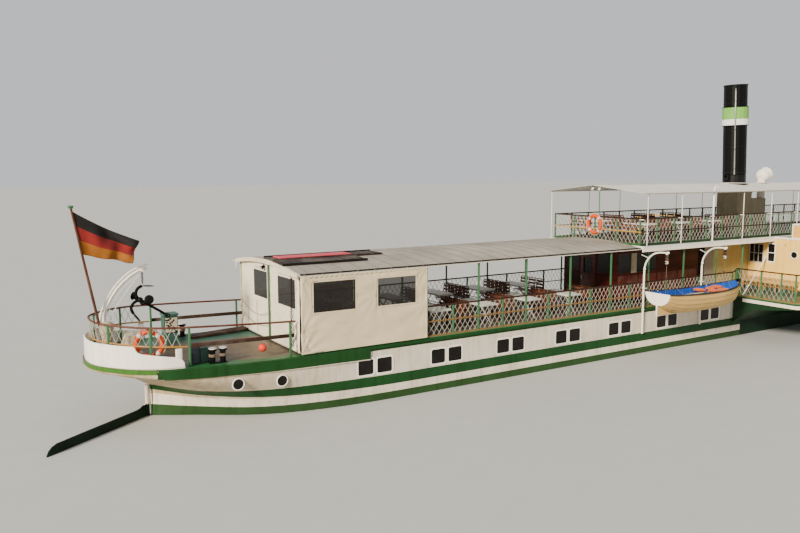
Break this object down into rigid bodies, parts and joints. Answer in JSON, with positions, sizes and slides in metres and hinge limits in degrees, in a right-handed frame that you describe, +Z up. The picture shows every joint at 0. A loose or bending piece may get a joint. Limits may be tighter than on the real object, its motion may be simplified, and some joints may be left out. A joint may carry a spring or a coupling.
{
  "type": "side-wheel river paddle steamer, 1:10 scale model",
  "caption": "Flat-bottomed river excursion steamer with side paddle wheels on sponsons, roofed aft deck, awning deck, hinged funnel and mast, lifeboat on davits and turned rudder.",
  "frame": {"origin": "middle of the flat hull bottom, amidships", "axes": "+X towards the bow, +Y to port, +Z up"},
  "size_m": [5.8435, 1.11, 1.1971],
  "materials": {
    "hull_paint": "satin",
    "rail_green": "satin",
    "white_paint": "satin",
    "cream_paint": "satin",
    "wheelhouse_paint": "satin",
    "saloon_panels": "satin",
    "deck_wood": "satin",
    "roof_covering": "satin",
    "canvas": "satin",
    "black_paint": "satin",
    "engine_iron": "satin",
    "flag_cloth": "satin",
    "varnished_wood": "satin",
    "boat_hull": "satin",
    "wheel_red": "satin",
    "sponson_green": "satin",
    "casing_olive": "satin"
  },
  "bodies": {
    "ship": {"hull": "hull_paint", "engine": "engine_iron", "boiler": "engine_iron", "stern_bulwark": "white_paint", "stern_rail": "rail_green", "flagpole": "varnished_wood", "flag": "flag_cloth", "bollards_aft_starboard": "black_paint", "bollards_aft_port": "black_paint", "foredeck_gear": "black_paint", "capstan": "casing_olive", "vent_locker": "sponson_green", "main_rail_starboard": "rail_green", "main_rail_port": "rail_green", "aft_roof": "roof_covering", "gangplank": "deck_wood", "stair": "varnished_wood", "canvas_starboard": "canvas", "canvas_port": "canvas", "canvas_stern": "canvas", "aft_deck": "deck_wood", "saloon": "saloon_panels", "upper_deck": "deck_wood", "upper_rail": "rail_green", "awning_frame": "white_paint", "awning": "canvas", "funnel_casing": "casing_olive", "cowl_vent": "white_paint", "sponson_port": "sponson_green", "sponson_starboard": "sponson_green", "cabin_aft_port": "cream_paint", "cabin_aft_starboard": "cream_paint", "paddle_box_port": "cream_paint", "paddle_box_starboard": "cream_paint", "cabin_fore_port": "cream_paint", "cabin_fore_starboard": "cream_paint", "midship_house": "cream_paint", "sponson_rail_starboard": "rail_green", "sponson_rail_port": "rail_green", "wheelhouse": "wheelhouse_paint", "mast_tabernacle": "white_paint", "fore_saloon": "saloon_panels", "fore_roof": "roof_covering", "fore_rail_starboard": "rail_green", "fore_rail_port": "rail_green", "bow_bulwark": "white_paint"},
    "paddle_wheels": {"paddle_wheels": "wheel_red"},
    "rudder": {"rudder": "sponson_green"},
    "funnel": {"funnel": "black_paint"},
    "foremast": {"foremast": "varnished_wood"},
    "anchor_davit": {"anchor_davit": "white_paint", "stern_anchor": "black_paint"},
    "davit_aft": {"davit_aft": "white_paint"},
    "davit_fore": {"davit_fore": "white_paint"},
    "lifeboat": {"lifeboat": "boat_hull"},
    "midship_door_starboard": {"midship_door_starboard": "cream_paint"},
    "midship_door_port": {"midship_door_port": "cream_paint"},
    "saloon_door": {"saloon_door": "saloon_panels"},
    "wheelhouse_door_starboard": {"wheelhouse_door_starboard": "wheelhouse_paint"},
    "wheelhouse_door_port": {"wheelhouse_door_port": "wheelhouse_paint"}
  },
  "joints": [
    {"name": "wheel_shaft", "type": "hinge", "parent": "ship", "child": "paddle_wheels", "pos_m": [0.51, 0, 0.21], "axis": [0, 1, 0], "continuous": true},
    {"name": "rudder_stock", "type": "hinge", "parent": "ship", "child": "rudder", "pos_m": [-2.696, 0, 0.1], "axis": [0, 0, 1], "range_deg": [-70, 0]},
    {"name": "funnel_hinge", "type": "hinge", "parent": "ship", "child": "funnel", "pos_m": [-0.0199, 0, 0.7769], "axis": [0, -1, 0], "range_deg": [0, 86]},
    {"name": "mast_hinge", "type": "hinge", "parent": "ship", "child": "foremast", "pos_m": [1.385, 0, 0.648], "axis": [0, 1, 0], "range_deg": [0, 85]},
    {"name": "anchor_davit_slew", "type": "hinge", "parent": "ship", "child": "anchor_davit", "pos_m": [-2.806, 0.009, 0.3], "axis": [0, 0, 1], "range_deg": [-40, 40]},
    {"name": "davit_aft_slew", "type": "hinge", "parent": "ship", "child": "davit_aft", "pos_m": [-0.86, -0.253, 0.3], "axis": [0, 0, 1], "range_deg": [-15, 15]},
    {"name": "davit_fore_slew", "type": "hinge", "parent": "ship", "child": "davit_fore", "pos_m": [-0.511, -0.253, 0.3], "axis": [0, 0, 1], "range_deg": [-15, 15]},
    {"name": "lifeboat_swing", "type": "hinge", "parent": "davit_aft", "child": "lifeboat", "pos_m": [-0.86, -0.357, 0.49], "axis": [0, 0, 1], "range_deg": [-15, 15]},
    {"name": "midship_door_starboard_hinge", "type": "hinge", "parent": "ship", "child": "midship_door_starboard", "pos_m": [0.99, -0.2036, 0.37], "axis": [0, 0, -1], "range_deg": [0, 100]},
    {"name": "midship_door_port_hinge", "type": "hinge", "parent": "ship", "child": "midship_door_port", "pos_m": [0.99, 0.2036, 0.37], "axis": [0, 0, 1], "range_deg": [0, 100]},
    {"name": "saloon_door_hinge", "type": "hinge", "parent": "ship", "child": "saloon_door", "pos_m": [-0.906, -0.0396, 0.37], "axis": [0, 0, 1], "range_deg": [0, 100]},
    {"name": "wheelhouse_door_starboard_hinge", "type": "hinge", "parent": "ship", "child": "wheelhouse_door_starboard", "pos_m": [1.1846, -0.11, 0.62], "axis": [0, 0, 1], "range_deg": [0, 100]},
    {"name": "wheelhouse_door_port_hinge", "type": "hinge", "parent": "ship", "child": "wheelhouse_door_port", "pos_m": [1.1846, 0.11, 0.62], "axis": [0, 0, -1], "range_deg": [0, 100]}
  ],
  "couplings": [
    {"joint": "davit_fore_slew", "follows": "davit_aft_slew", "ratio": 1},
    {"joint": "lifeboat_swing", "follows": "davit_aft_slew", "ratio": -1}
  ]
}
